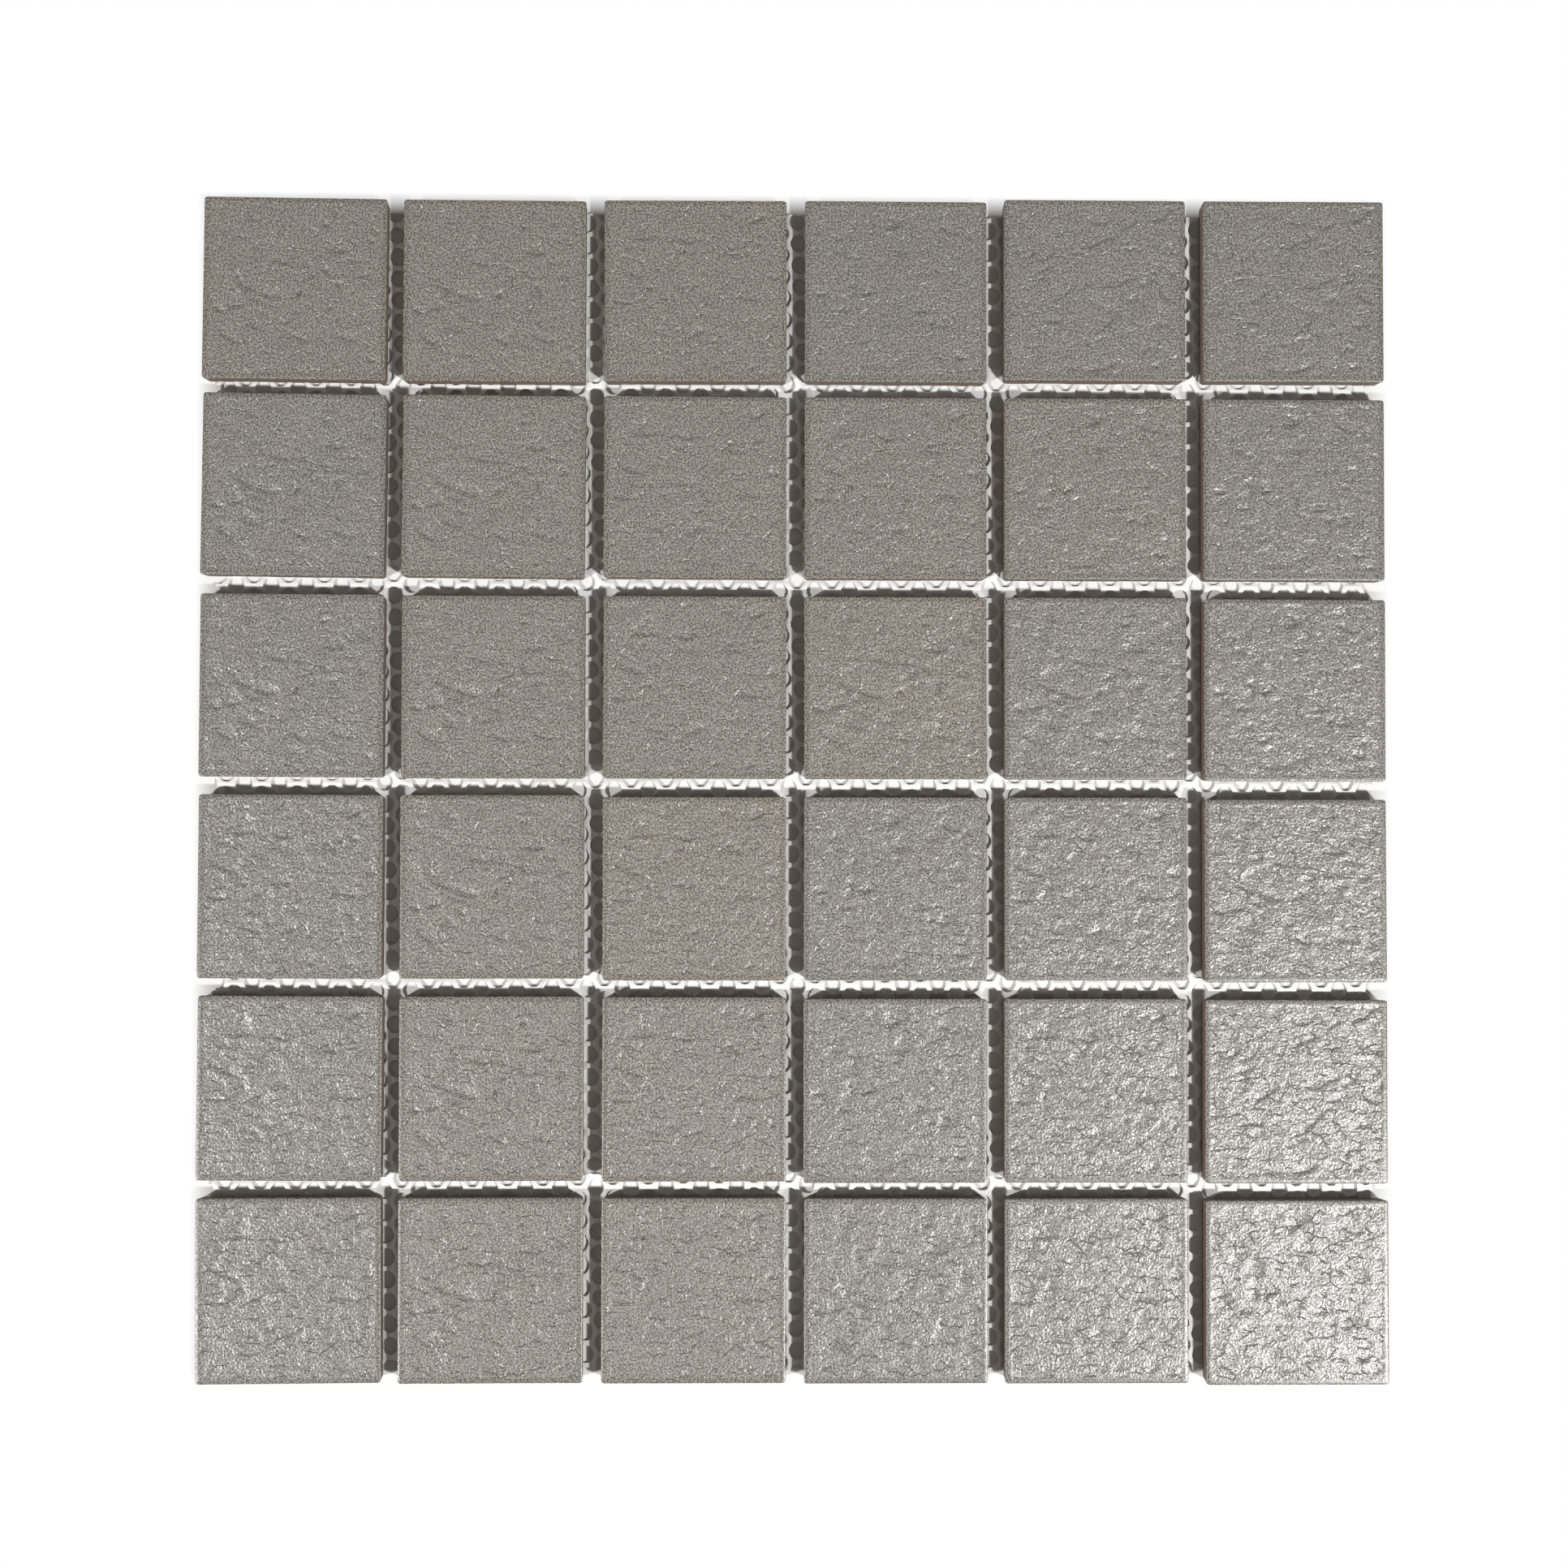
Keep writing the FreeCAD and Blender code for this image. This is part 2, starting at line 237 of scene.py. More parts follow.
RELIEF_D = [
    (20.6, 12.1, 25.0, 10.1, 0.1, 0.34), (24.8, 10.2, 28.2, 9.3, 0.1, 0.30),
    (29.3, 7.7, 34.1, 5.1, 0.1, 0.28), (21.0, 4.7, 27.4, 4.9, 1.1, 0.24),
    (5.8, 14.4, 8.6, 12.9, 0.1, 0.34), (37.0, 5.3, 41.0, 3.4, 0.5, 0.32),
    (40.8, 3.5, 43.7, 2.1, -0.3, 0.30), (7.8, 15.0, 13.4, 11.4, 1.4, 0.22),
    (7.8, 18.2, 12.4, 16.4, 0.4, 0.24), (11.8, 25.7, 18.4, 21.5, 0.2, 0.26),
    (29.6, 10.9, 31.5, 10.5, 0.2, 0.34), (29.0, 21.0, 34.1, 19.3, -0.1, 0.26),
    (34.6, 22.2, 35.6, 20.3, 0.0, 0.24), (35.4, 20.5, 38.2, 19.9, 0.1, 0.26),
    (36.9, 18.1, 38.7, 18.2, 0.2, 0.34), (41.2, 18.0, 43.7, 18.7, 0.1, 0.30),
    (40.6, 11.8, 44.0, 14.2, -0.3, 0.28), (38.8, 21.8, 43.8, 25.6, 1.3, 0.32),
    (10.6, 30.6, 14.6, 30.8, 0.1, 0.34), (19.8, 36.2, 22.0, 36.3, 0.1, 0.34),
    (22.3, 34.5, 29.3, 28.1, 0.2, 0.24), (37.3, 31.3, 41.5, 31.2, 0.3, 0.34),
    (15.0, 41.9, 20.0, 43.0, 0.3, 0.28), (19.6, 43.0, 28.7, 40.6, 0.9, 0.36),
    (34.6, 39.1, 36.4, 36.6, 0.1, 0.30), (36.2, 36.6, 37.6, 38.2, 0.0, 0.28),
    (36.9, 41.8, 39.3, 41.7, 0.2, 0.34), (24.2, 21.8, 28.9, 21.5, 0.2, 0.24),
    (17.4, 13.3, 19.8, 13.4, 0.2, 0.26), (5.5, 25.6, 6.6, 25.9, 0.1, 0.26),
    (1.4, 28.7, 4.8, 28.5, 0.1, 0.18), (25.4, 28.1, 28.2, 27.6, 0.1, 0.20),
    (30.2, 25.0, 34.0, 24.4, 0.4, 0.20), (21.0, 12.6, 23.4, 11.5, 0.0, -0.22),
    (2.2, 14.2, 4.6, 12.7, 0.0, -0.32), (5.8, 9.6, 8.2, 8.9, -0.1, -0.32),
    (9.0, 11.1, 11.0, 10.5, -0.1, -0.24), (7.8, 20.1, 10.6, 20.0, -0.1, -0.32),
    (15.8, 11.7, 17.8, 11.1, -0.1, -0.26), (22.2, 35.3, 27.7, 34.8, -0.3, -0.30),
    (41.0, 5.7, 43.1, 5.1, 0.0, -0.34), (38.6, 19.3, 43.7, 20.1, -0.5, -0.24),
    (43.4, 20.0, 44.2, 22.6, -0.1, -0.20), (31.4, 25.2, 35.7, 23.5, -0.4, -0.24),
    (38.9, 27.4, 40.5, 27.0, 0.0, -0.34), (1.5, 25.4, 5.3, 26.4, -0.4, -0.24),
    (5.8, 40.0, 10.6, 40.8, -0.5, -0.26), (30.9, 12.3, 33.7, 11.9, -0.1, -0.24),
    (33.7, 42.0, 35.7, 41.6, -0.1, -0.28), (11.4, 32.8, 14.6, 32.8, -0.1, -0.30),
    (25.4, 31.2, 28.2, 29.8, -0.1, -0.20), (26.6, 29.2, 30.2, 27.4, -0.1, -0.22),
    (6.4, 28.2, 8.2, 28.1, -0.1, -0.20), (16.0, 3.3, 18.2, 2.9, -0.1, -0.20),
    (2.0, 6.8, 4.0, 3.8, -0.2, -0.20),
]
RELIEFS = {"A": RELIEF_A, "B": RELIEF_B, "C": RELIEF_C, "D": RELIEF_D}

# The net: six-sided cells, in millimetres
CELL_HEIGHT = 5.5           # from one cell to the next along y
CELL_PERIOD = 8.77          # from one column of cells to the next in line with it, along x
CELL_EDGE = 2.8             # a strand that runs along x
STRAND_WIDTH = 0.95
STRAND_SIDE = 0.8           # height of a strand's sides, as a share of the net's thickness
BEND_SHARE = 0.24           # where a hole's rounded corner starts, as a share of a strand's length
BEND_PULL = 1.25            # how far it is set in from the strand's middle, in half widths
NET_OFF_X = -1.47           # the cell nearest the sheet's middle
NET_OFF_Y = 0.09
NET_TURN_DEG = 0.76         # the net was glued on a little askew
NET_LEAN = 0.034            # and pulled out of square
STRAND_WANDER = 0.1         # how far a crossing is pulled out of place
NET_SPARE = 9               # cells are laid out this far past the net's edges, then cut off
NET_LIFT = 0.9              # how far the net arches up in the middle of a joint
LIFT_STEPS = [(2.5, 0.0), (1.4, 0.75), (0.0, 1.0)]  # distance from that middle, share of the lift
LIFT_REACH = 7              # faces that start within this distance of a joint may have to bend

# The view and the lamps
PHOTO_WIDTH_PX = 1932
FOCAL_PX = 2942             # focal length in photo pixels
CAMERA_HEIGHT = 600         # from the camera to the underside of the net, in millimetres
CAMERA_OFF_X = -2.6
CAMERA_OFF_Y = 1.2
TILT_X_DEG = -1.6
TILT_Y_DEG = 1.1
ROLL_DEG = -0.12
SENSOR_MM = 36

# Each lamp: bearing in degrees from +X, height in degrees above the floor, distance and size in
# metres, and power in watts
LAMPS = {
    "right_lamp": (-36.0, 53.2, 1.25, 0.09, 12.2),
    "left_lamp": (206.6, 47.0, 1.64, 0.12, 16.2),
}
ROOM_LIGHT = 0.06
TABLE_REACH = 3.0           # metres from the middle to each edge
TABLE_GAP = 0.02            # millimetres between the table and the net's flat underside


def linear(hex_colour):
    """An sRGB colour such as #8F8A82 as linear red, green, blue and alpha."""
    levels = [int(hex_colour[i:i + 2], 16) / 255 for i in (1, 3, 5)]
    return tuple(v / 12.92 if v <= 0.04045 else ((v + 0.055) / 1.055) ** 2.4 for v in levels) + (1.0,)


# Reliefs

def scar_cut(x, y, scar):
    """How deep one scar cuts at each point, as a negative height, and how near its crease is."""
    x0, y0, x1, y1, bow, depth = scar
    half = TILE_SIDE / 2
    start = np.array([x0 - half, half - y0])
    end = np.array([x1 - half, half - y1])
    chord = end - start
    length = math.hypot(*chord)
    below = np.array([chord[1], -chord[0]]) / length
    bend = (start + end) / 2 + 2 * bow * below
    t = np.linspace(0, 1, SCAR_PIECES + 1)[:, None]
    path = (1 - t) ** 2 * start + 2 * t * (1 - t) * bend + t ** 2 * end
    best = np.full(x.shape, np.inf)
    side = np.zeros(x.shape)
    along = np.zeros(x.shape)
    for index in range(SCAR_PIECES):
        a, b = path[index], path[index + 1]
        run = b - a
        share = ((x - a[0]) * run[0] + (y - a[1]) * run[1]) / (run @ run)
        share = np.clip(share, 0, 1)
        off_x = x - a[0] - share * run[0]
        off_y = y - a[1] - share * run[1]
        distance = np.hypot(off_x, off_y)
        nearer = distance < best
        best = np.where(nearer, distance, best)
        side = np.where(nearer, np.sign(run[0] * off_y - run[1] * off_x), side)
        along = np.where(nearer, (index + share) / SCAR_PIECES, along)
    low = best * side * math.copysign(1, depth)
    reach = LEAST_RUN_OUT + RUN_OUT_SHARE * length
    ramp = np.clip(1 + low / STEP_WIDTH, 0, 1)
    shape = np.where(low > 0, np.exp(-np.abs(low) / reach), ramp * ramp * (3 - 2 * ramp))
    nick = np.exp(-((low + NICK_OFF) / NICK_WIDTH) ** 2)
    taper = (4 * along * (1 - along)) ** SCAR_TAPER
    bite = SCAR_SHARE * abs(depth) * taper
    return -bite * (shape + NICK_SHARE * nick), bite * nick


def dimple_height(x, y, seed):
    """Hammered dimples: each cell is a shallow bowl, and the bowls meet in crests."""
    total = 0.0
    for index, (size_x, size_y, depth) in enumerate(DIMPLES):
        warp_x = DIMPLE_WARP * noise.noise(Vector((x / size_x, y / size_y, seed + 7.3)))
        warp_y = DIMPLE_WARP * noise.noise(Vector((x / size_x, y / size_y, seed + 19.1)))
        place = Vector((x / size_x + warp_x, y / size_y + warp_y, seed + 3.7 * index))
        nearest = noise.voronoi(place)[0][0]
        total += depth * min(nearest * nearest * DIMPLE_FULLNESS, 1.0)
    swell = noise.fractal(Vector((x / SWELL_SIZE[0], y / SWELL_SIZE[1], seed)), 1.0, 2.0, 3)
    return total + SWELL_HEIGHT * swell


def relief_heights(x, y, scars, seed):
    """Heights of the riven field over the grid x, y, mean near zero, and a map of its creases, which
    the material darkens as painted shade.
    """
    height = np.zeros(x.shape)
    crease_shade = np.zeros(x.shape)
    for scar in scars:
        cut, dark = scar_cut(x, y, scar)
        height += cut
        crease_shade = np.maximum(crease_shade, dark)
    for i in range(x.shape[0]):
        for j in range(x.shape[1]):
            height[i, j] += dimple_height(x[i, j], y[i, j], seed)
    return height - height.mean(), crease_shade


# Tile meshes

def grid_lines():
    """Distances across the face: close together at the edges, even in between."""
    half = TILE_SIDE / 2
    inner = half - EDGE_RINGS[-1]
    near = [-half + d for d in EDGE_RINGS[:-1]]
    middle = list(np.linspace(-inner, inner, FIELD_STEPS + 1))
    return np.array(near + middle + [-v for v in reversed(near)])


def round_corners(x, y, side, radius):
    """Pulls a square grid's corner points in, so that its outline has round corners."""
    flat = side / 2 - radius
    u = np.clip((np.abs(x) - flat) / radius, 0, 1)
    v = np.clip((np.abs(y) - flat) / radius, 0, 1)
    in_corner = (u > 0) & (v > 0)
    bent_x = np.sign(x) * (flat + radius * u * np.sqrt(1 - v * v / 2))
    bent_y = np.sign(y) * (flat + radius * v * np.sqrt(1 - u * u / 2))
    return np.where(in_corner, bent_x, x), np.where(in_corner, bent_y, y)


def smooth_step(value):
    held = np.clip(value, 0, 1)
    return held * held * (3 - 2 * held)


def groove_lift(x):
    """How far the back is hollowed at x: grooves evenly spread, with sloping lips."""
    spacing = TILE_SIDE / GROOVE_COUNT
    lift = 0.0
    for index in range(GROOVE_COUNT):
        off = abs(x - (index - (GROOVE_COUNT - 1) / 2) * spacing)
        lift = max(lift, min(1.0, (GROOVE_WIDTH / 2 + GROOVE_LIP - off) / GROOVE_LIP))
    return GROOVE_DEPTH * max(lift, 0.0)


def tile_mesh(letter):
    """One pressed tile with that relief: face, walls and grooved back as one closed mesh."""
    lines = grid_lines()
    count = len(lines)
    x, y = np.meshgrid(lines, lines, indexing="ij")
    inward = TILE_SIDE / 2 - np.maximum(np.abs(x), np.abs(y))
    number = ord(letter) - ord("A") + 1
    relief, crease_shade = relief_heights(x, y, RELIEFS[letter], RELIEF_SEED_STEP * number)
    riven = smooth_step((inward - RIM_WIDTH) / RIM_FALL)
    bend = np.clip(1 - inward / EDGE_ROUND, 0, 1)
    edge_fall = EDGE_ROUND * (1 - np.sqrt(1 - bend * bend))
    edge_fall += RIM_PILLOW * np.clip(1 - inward / (RIM_WIDTH + RIM_FALL / 2), 0, 1) ** 2
    z = TILE_THICKNESS - edge_fall + riven * np.minimum(relief - FIELD_DEPTH, -LEAST_DEPTH)
    x, y = round_corners(x, y, TILE_SIDE, CORNER_RADIUS)

    grid = zip(x.ravel(), y.ravel(), z.ravel())
    points = [(px * MM, py * MM, pz * MM) for px, py, pz in grid]
    faces = []
    for i in range(count - 1):
        for j in range(count - 1):
            a = i * count + j
            faces.append((a, a + count, a + count + 1, a + 1))

    last = count - 1
    front = [i * count for i in range(count)]
    right = [last * count + j for j in range(1, count)]
    back = [i * count + last for i in range(last - 1, -1, -1)]
    left = [j for j in range(last - 1, 0, -1)]
    outline = front + right + back + left
    shrink = 1 - 2 * WALL_DRAFT / TILE_SIDE
    base = len(points)
    for place in outline:
        px, py, _ = points[place]
        points.append((px * shrink, py * shrink, groove_lift(px / MM) * MM))
    around = len(outline)
    for k in range(around):
        n = (k + 1) % around
        faces.append((outline[k], base + k, base + n, outline[n]))

    # the back: strips from the front edge to the back edge, and a narrow face beside each end
    def under(k):
        return base + k % around

    for i in range(last):
        faces.append((under(i), under(3 * last - i), under(3 * last - i - 1), under(i + 1)))
    faces.append(tuple(under(k) for k in range(2 * last, last - 1, -1)))
    faces.append(tuple(under(k) for k in range(4 * last, 3 * last - 1, -1)))

    mesh = bpy.data.meshes.new("tile_relief_" + letter.lower())
    mesh.from_pydata(points, [], faces)
    mesh.polygons.foreach_set("use_smooth", [True] * len(faces))
    mesh.set_sharp_from_angle(angle=math.radians(SHARP_EDGE_DEG))
    top_faces = (count - 1) ** 2
    mesh.polygons.foreach_set("material_index", [0] * top_faces + [1] * (len(faces) - top_faces))
    walls = [0.0] * around
    mould = np.full(riven.shape, float(number))
    # the crease map goes to the material, which paints shade along it
    for name, values in (("riven", riven), ("crease_shade", crease_shade), ("mould", mould)):
        layer = mesh.attributes.new(name, "FLOAT", "POINT")
        layer.data.foreach_set("value", list(values.ravel()) + walls)
    return mesh


# The net's mesh

def net_mesh():
    """Crowned strands round six-sided cells with rounded corners, cut off square at the edges."""
    rng = random.Random(41)
    size_x = (NET_BOX[1][0] - NET_BOX[0][0]) / MM
    size_y = (NET_BOX[1][1] - NET_BOX[0][1]) / MM
    column_step = CELL_PERIOD / 2
    row_step = CELL_HEIGHT / 2
    columns = int(size_x / column_step / 2) + 4
    rows = int(size_y / CELL_HEIGHT / 2) + 4
    slant = CELL_PERIOD / 2 - CELL_EDGE
    mesh = bmesh.new()
    crossings = {}

    def crossing(x, y):
        """The crown of a strand crossing, shared by the cells around it."""
        key = (round(x * 4), round(y * 4))
        if key not in crossings:
            pull_x = rng.uniform(-1, 1) * STRAND_WANDER
            pull_y = rng.uniform(-1, 1) * STRAND_WANDER
            top = mesh.verts.new((x + pull_x, y + pull_y, NET_THICKNESS))
            bottom = mesh.verts.new((x + pull_x, y + pull_y, 0))
            crossings[key] = (top, bottom)
        return crossings[key]

    for column in range(-columns, columns + 1):
        for row in range(-rows, rows + 1):
            middle_x = column * column_step
            middle_y = row * CELL_HEIGHT + (row_step if column % 2 else 0)
            reach = CELL_EDGE / 2 + slant
            if abs(middle_x) > size_x / 2 + NET_SPARE or abs(middle_y) > size_y / 2 + NET_SPARE:
                continue
            corners = [
                (middle_x + reach, middle_y),
                (middle_x + CELL_EDGE / 2, middle_y + row_step),
                (middle_x - CELL_EDGE / 2, middle_y + row_step),
                (middle_x - reach, middle_y),
                (middle_x - CELL_EDGE / 2, middle_y - row_step),
                (middle_x + CELL_EDGE / 2, middle_y - row_step),
            ]
            crowns = [crossing(*corner) for corner in corners]
            hole = hole_outline(crowns, middle_x, middle_y)
            rim = [mesh.verts.new((px, py, NET_THICKNESS * STRAND_SIDE)) for px, py in hole]
            join_cell(mesh, [top for top, _ in crowns], rim, True)
            join_cell(mesh, [bottom for _, bottom in crowns], rim, False)

    lean = Matrix(((1, -NET_LEAN, 0, 0), (0, 1, 0, 0), (0, 0, 1, 0), (0, 0, 0, 1)))
    turn = Matrix.Rotation(math.radians(NET_TURN_DEG), 4, "Z")
    move = Matrix.Translation((NET_OFF_X, NET_OFF_Y, 0))
    bmesh.ops.transform(mesh, matrix=move @ turn @ lean, verts=mesh.verts)
    for axis, limit in ((0, size_x / 2), (0, -size_x / 2), (1, size_y / 2), (1, -size_y / 2)):
        place = Vector((0, 0, 0))
        normal = Vector((0, 0, 0))
        place[axis] = limit
        normal[axis] = math.copysign(1, limit)
        parts = mesh.verts[:] + mesh.edges[:] + mesh.faces[:]
        cut = bmesh.ops.bisect_plane(mesh, geom=parts, plane_co=place, plane_no=normal,
                                     clear_outer=True)
        ends = [item for item in cut["geom_cut"] if isinstance(item, bmesh.types.BMEdge)]
        bmesh.ops.holes_fill(mesh, edges=ends, sides=0)
    arch_in_joints(mesh)
    bmesh.ops.transform(mesh, matrix=Matrix.Scale(MM, 4), verts=mesh.verts)
    bmesh.ops.recalc_face_normals(mesh, faces=mesh.faces)
    made = bpy.data.meshes.new("open_net")
    mesh.to_mesh(made)
    mesh.free()
    made.polygons.foreach_set("use_smooth", [True] * len(made.polygons))
    made.set_sharp_from_angle(angle=math.radians(SHARP_EDGE_DEG))
    return made


def joint_middles():
    """The middle lines of the joints, along x and along y, in millimetres."""
    pitch = (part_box("tile_r1_c2")[0][0] - FIRST_TILE[0][0]) / MM
    count = len(LAYOUT) - 1
    return [(index - (count - 1) / 2) * pitch for index in range(count)]


def arch_in_joints(mesh):
    """Glue draws the net up between the tiles: it lies flat under them and arches in the joints."""
    offs = sorted({sign * off for off, _ in LIFT_STEPS for sign in (-1, 1)})
    for axis in (0, 1):
        for middle in joint_middles():
            for off in offs:
                place = Vector((0, 0, 0))
                normal = Vector((0, 0, 0))
                place[axis] = middle + off
                normal[axis] = 1
                near = [f for f in mesh.faces if abs(f.verts[0].co[axis] - middle) < LIFT_REACH]
                edges = {edge for face in near for edge in face.edges}
                points = {point for face in near for point in face.verts}
                parts = near + list(edges) + list(points)
                bmesh.ops.bisect_plane(mesh, geom=parts, plane_co=place, plane_no=normal)
    reach = [off for off, _ in reversed(LIFT_STEPS)]
    share = [part for _, part in reversed(LIFT_STEPS)]
    middles = np.array(joint_middles())
    for point in mesh.verts:
        nearest = min(np.abs(middles - point.co.x).min(), np.abs(middles - point.co.y).min())
        point.co.z += NET_LIFT * np.interp(nearest, reach, share)


def hole_outline(crowns, middle_x, middle_y):
    """Two points for each corner of a cell's hole, set in from the strands' middle lines."""
    outline = []
    count = len(crowns)
    for index in range(count):
        before = crowns[index - 1][0].co
        here = crowns[index][0].co
        after = crowns[(index + 1) % count][0].co
        for neighbour in (before, after):
            x = here.x + (neighbour.x - here.x) * BEND_SHARE
            y = here.y + (neighbour.y - here.y) * BEND_SHARE
            away = Vector((middle_x - x, middle_y - y))
            pull = STRAND_WIDTH / 2 * BEND_PULL
            x += away.x / away.length * pull
            y += away.y / away.length * pull
            outline.append((x, y))
    return outline


def join_cell(mesh, crowns, rim, upward):
    """Faces between a cell's six crowns and the twelve points of its hole."""
    count = len(crowns)
    for index in range(count):
        first = rim[2 * index]
        second = rim[2 * index + 1]
        following = rim[(2 * index + 2) % (2 * count)]
        here = crowns[index]
        after = crowns[(index + 1) % count]
        corner = (here, second, first)
        side = (here, after, following, second)
        if upward:
            mesh.faces.new(corner[::-1])
            mesh.faces.new(side)
        else:
            mesh.faces.new(corner)
            mesh.faces.new(side[::-1])


# Materials

FLAT = {"noise_dimensions": "2D"}      # for a pattern that lies on the level faces


def add_node(tree, kind, settings, links):
    """Adds a node, sets its properties and unlinked inputs, and joins the inputs in links."""
    made = tree.nodes.new(kind)
    for name, value in settings.items():
        if isinstance(name, str) and hasattr(made, name):
            setattr(made, name, value)
        else:
            made.inputs[name].default_value = value
    for name, socket in links.items():
        tree.links.new(socket, made.inputs[name])
    return made


def new_material(name):
    """An empty node material with its output, ready for a surface."""
    material = bpy.data.materials.new(name)
    material.use_nodes = True
    tree = material.node_tree
    tree.nodes.clear()
    return material, tree, tree.nodes.new("ShaderNodeOutputMaterial")


def seen_directly(tree):
    """One for what the camera sees, also in a gloss or through a clear piece, else zero."""
    ray = add_node(tree, "ShaderNodeLightPath", {}, {})
    seen = add_node(tree, "ShaderNodeMath", {"operation": "MAXIMUM"},
                    {0: ray.outputs["Is Camera Ray"], 1: ray.outputs["Is Glossy Ray"]}).outputs[0]
    return add_node(tree, "ShaderNodeMath", {"operation": "MAXIMUM"},
                    {0: seen, 1: ray.outputs["Is Transmission Ray"]}).outputs[0]


def pressed_grain(tree, place, roughening):
    """The normal over the pressed grain, and over grit of about 0.2 mm that is drawn at 0.6 mm so
    that it shows."""
    along = add_node(tree, "ShaderNodeVectorMath",
                     {"operation": "MULTIPLY", 1: (0.6, 1.1, 1.0)}, {0: place}).outputs[0]
    pressed = add_node(tree, "ShaderNodeTexNoise",
                       {**FLAT, "Scale": 1 / (1.6 * MM), "Detail": 1, "Roughness": 0.55},
                       {"Vector": along}).outputs["Fac"]
    grit = add_node(tree, "ShaderNodeTexNoise",
                    {**FLAT, "Scale": 1 / (0.6 * MM), "Detail": 1}, {"Vector": place}).outputs["Fac"]
    bump = add_node(tree, "ShaderNodeBump", {"Distance": 0.1 * MM},
                    {"Height": pressed, "Strength": roughening})
    return add_node(tree, "ShaderNodeBump", {"Distance": 0.11 * MM},
                    {"Height": grit, "Strength": roughening, "Normal": bump.outputs[0]}).outputs[0]


def broken_hairlines(tree, riven):
    """Hairline edges of overlapping scales about 3 mm wide, pressed by the mould and broken off
    here and there: one on a line and zero beside it."""
    mould = add_node(tree, "ShaderNodeAttribute", {"attribute_name": "mould"}, {}).outputs["Fac"]
    on_tile = add_node(tree, "ShaderNodeTexCoord", {}, {}).outputs["Object"]
    shift = add_node(tree, "ShaderNodeVectorMath",
                     {"operation": "SCALE", 0: (0.13, 0.07, 0.0)}, {"Scale": mould}).outputs[0]
    on_mould = add_node(tree, "ShaderNodeVectorMath",
                        {"operation": "ADD"}, {0: on_tile, 1: shift}).outputs[0]
    bends = add_node(tree, "ShaderNodeTexNoise",
                     {**FLAT, "Scale": 1 / (3.2 * MM), "Detail": 2},
                     {"Vector": on_mould}).outputs["Color"]
    bent = add_node(tree, "ShaderNodeVectorMath",
                    {"operation": "MULTIPLY_ADD", 1: (3.0 * MM, 2.4 * MM, 0)},
                    {0: bends, 2: on_mould}).outputs[0]
    stretched = add_node(tree, "ShaderNodeVectorMath",
                         {"operation": "MULTIPLY", 1: (0.66, 1.0, 1.0)}, {0: bent}).outputs[0]
    scales = add_node(tree, "ShaderNodeTexVoronoi",
                      {"voronoi_dimensions": "2D", "feature": "DISTANCE_TO_EDGE",
                       "Scale": 1 / (3.0 * MM)},
                      {"Vector": stretched}).outputs["Distance"]
    line = add_node(tree, "ShaderNodeMapRange",
                    {"From Min": 0.0, "From Max": 0.07, "To Min": 1.0, "To Max": 0.0},
                    {"Value": scales}).outputs["Result"]
    broken = add_node(tree, "ShaderNodeTexNoise",
                      {**FLAT, "Scale": 1 / (4.0 * MM), "Detail": 1},
                      {"Vector": on_mould}).outputs["Fac"]
    present = add_node(tree, "ShaderNodeMapRange",
                       {"From Min": 0.46, "From Max": 0.58}, {"Value": broken}).outputs["Result"]
    present = add_node(tree, "ShaderNodeMath",
                       {"operation": "MULTIPLY"}, {0: present, 1: riven}).outputs[0]
    return add_node(tree, "ShaderNodeMath",
                    {"operation": "MULTIPLY"}, {0: line, 1: present}).outputs[0]


def glinting_facets(tree, grains, roughening, normal):
    """The normal leant over by each fused grain's own facet, which glints by itself."""
    spread = 2 * FACET_LEAN
    lean = add_node(tree, "ShaderNodeVectorMath",
                    {"operation": "MULTIPLY_ADD",
                     1: (spread, spread, 0), 2: (-FACET_LEAN, -FACET_LEAN, 0)},
                    {0: grains}).outputs[0]
    lean = add_node(tree, "ShaderNodeVectorMath",
                    {"operation": "SCALE"}, {0: lean, "Scale": roughening}).outputs[0]
    facet = add_node(tree, "ShaderNodeVectorMath",
                     {"operation": "ADD"}, {0: normal, 1: lean}).outputs[0]
    return add_node(tree, "ShaderNodeVectorMath", {"operation": "NORMALIZE"}, {0: facet}).outputs[0]


def speckled_body(tree, place):
    """The body's colour: a cloudy drift, the tint of the tile's own firing, and grains of about
    0.2 mm that are paler than what lies between them, drawn at 0.42 mm so that they show."""
    drift = add_node(tree, "ShaderNodeTexNoise",
                     {**FLAT, "Scale": 1 / (14 * MM), "Detail": 2}, {"Vector": place}).outputs["Fac"]
    body = add_node(tree, "ShaderNodeMix",
                    {"data_type": "RGBA", 6: linear("#645C53"), 7: linear("#6C6459")},
                    {0: drift}).outputs[2]
    greyness = add_node(tree, "ShaderNodeAttribute",
                        {"attribute_type": "OBJECT", "attribute_name": "greyness"},
                        {}).outputs["Fac"]
    tint = add_node(tree, "ShaderNodeMix",
                    {"data_type": "RGBA", "clamp_factor": False,
                     6: (1, 1, 1, 1), 7: (0.965, 1.0, 1.05, 1)},
                    {0: greyness}).outputs[2]
    body = add_node(tree, "ShaderNodeVectorMath",
                    {"operation": "MULTIPLY"}, {0: body, 1: tint}).outputs[0]
    speckle = add_node(tree, "ShaderNodeTexNoise",
                       {**FLAT, "Scale": 1 / (0.42 * MM), "Detail": 0},
                       {"Vector": place}).outputs["Fac"]
    grain_tone = add_node(tree, "ShaderNodeMapRange",
                          {"From Min": 0.37, "From Max": 0.63, "To Min": 0.15, "To Max": 1.85},
                          {"Value": speckle}).outputs["Result"]
    return add_node(tree, "ShaderNodeVectorMath",
                    {"operation": "SCALE"}, {0: body, "Scale": grain_tone}).outputs[0]


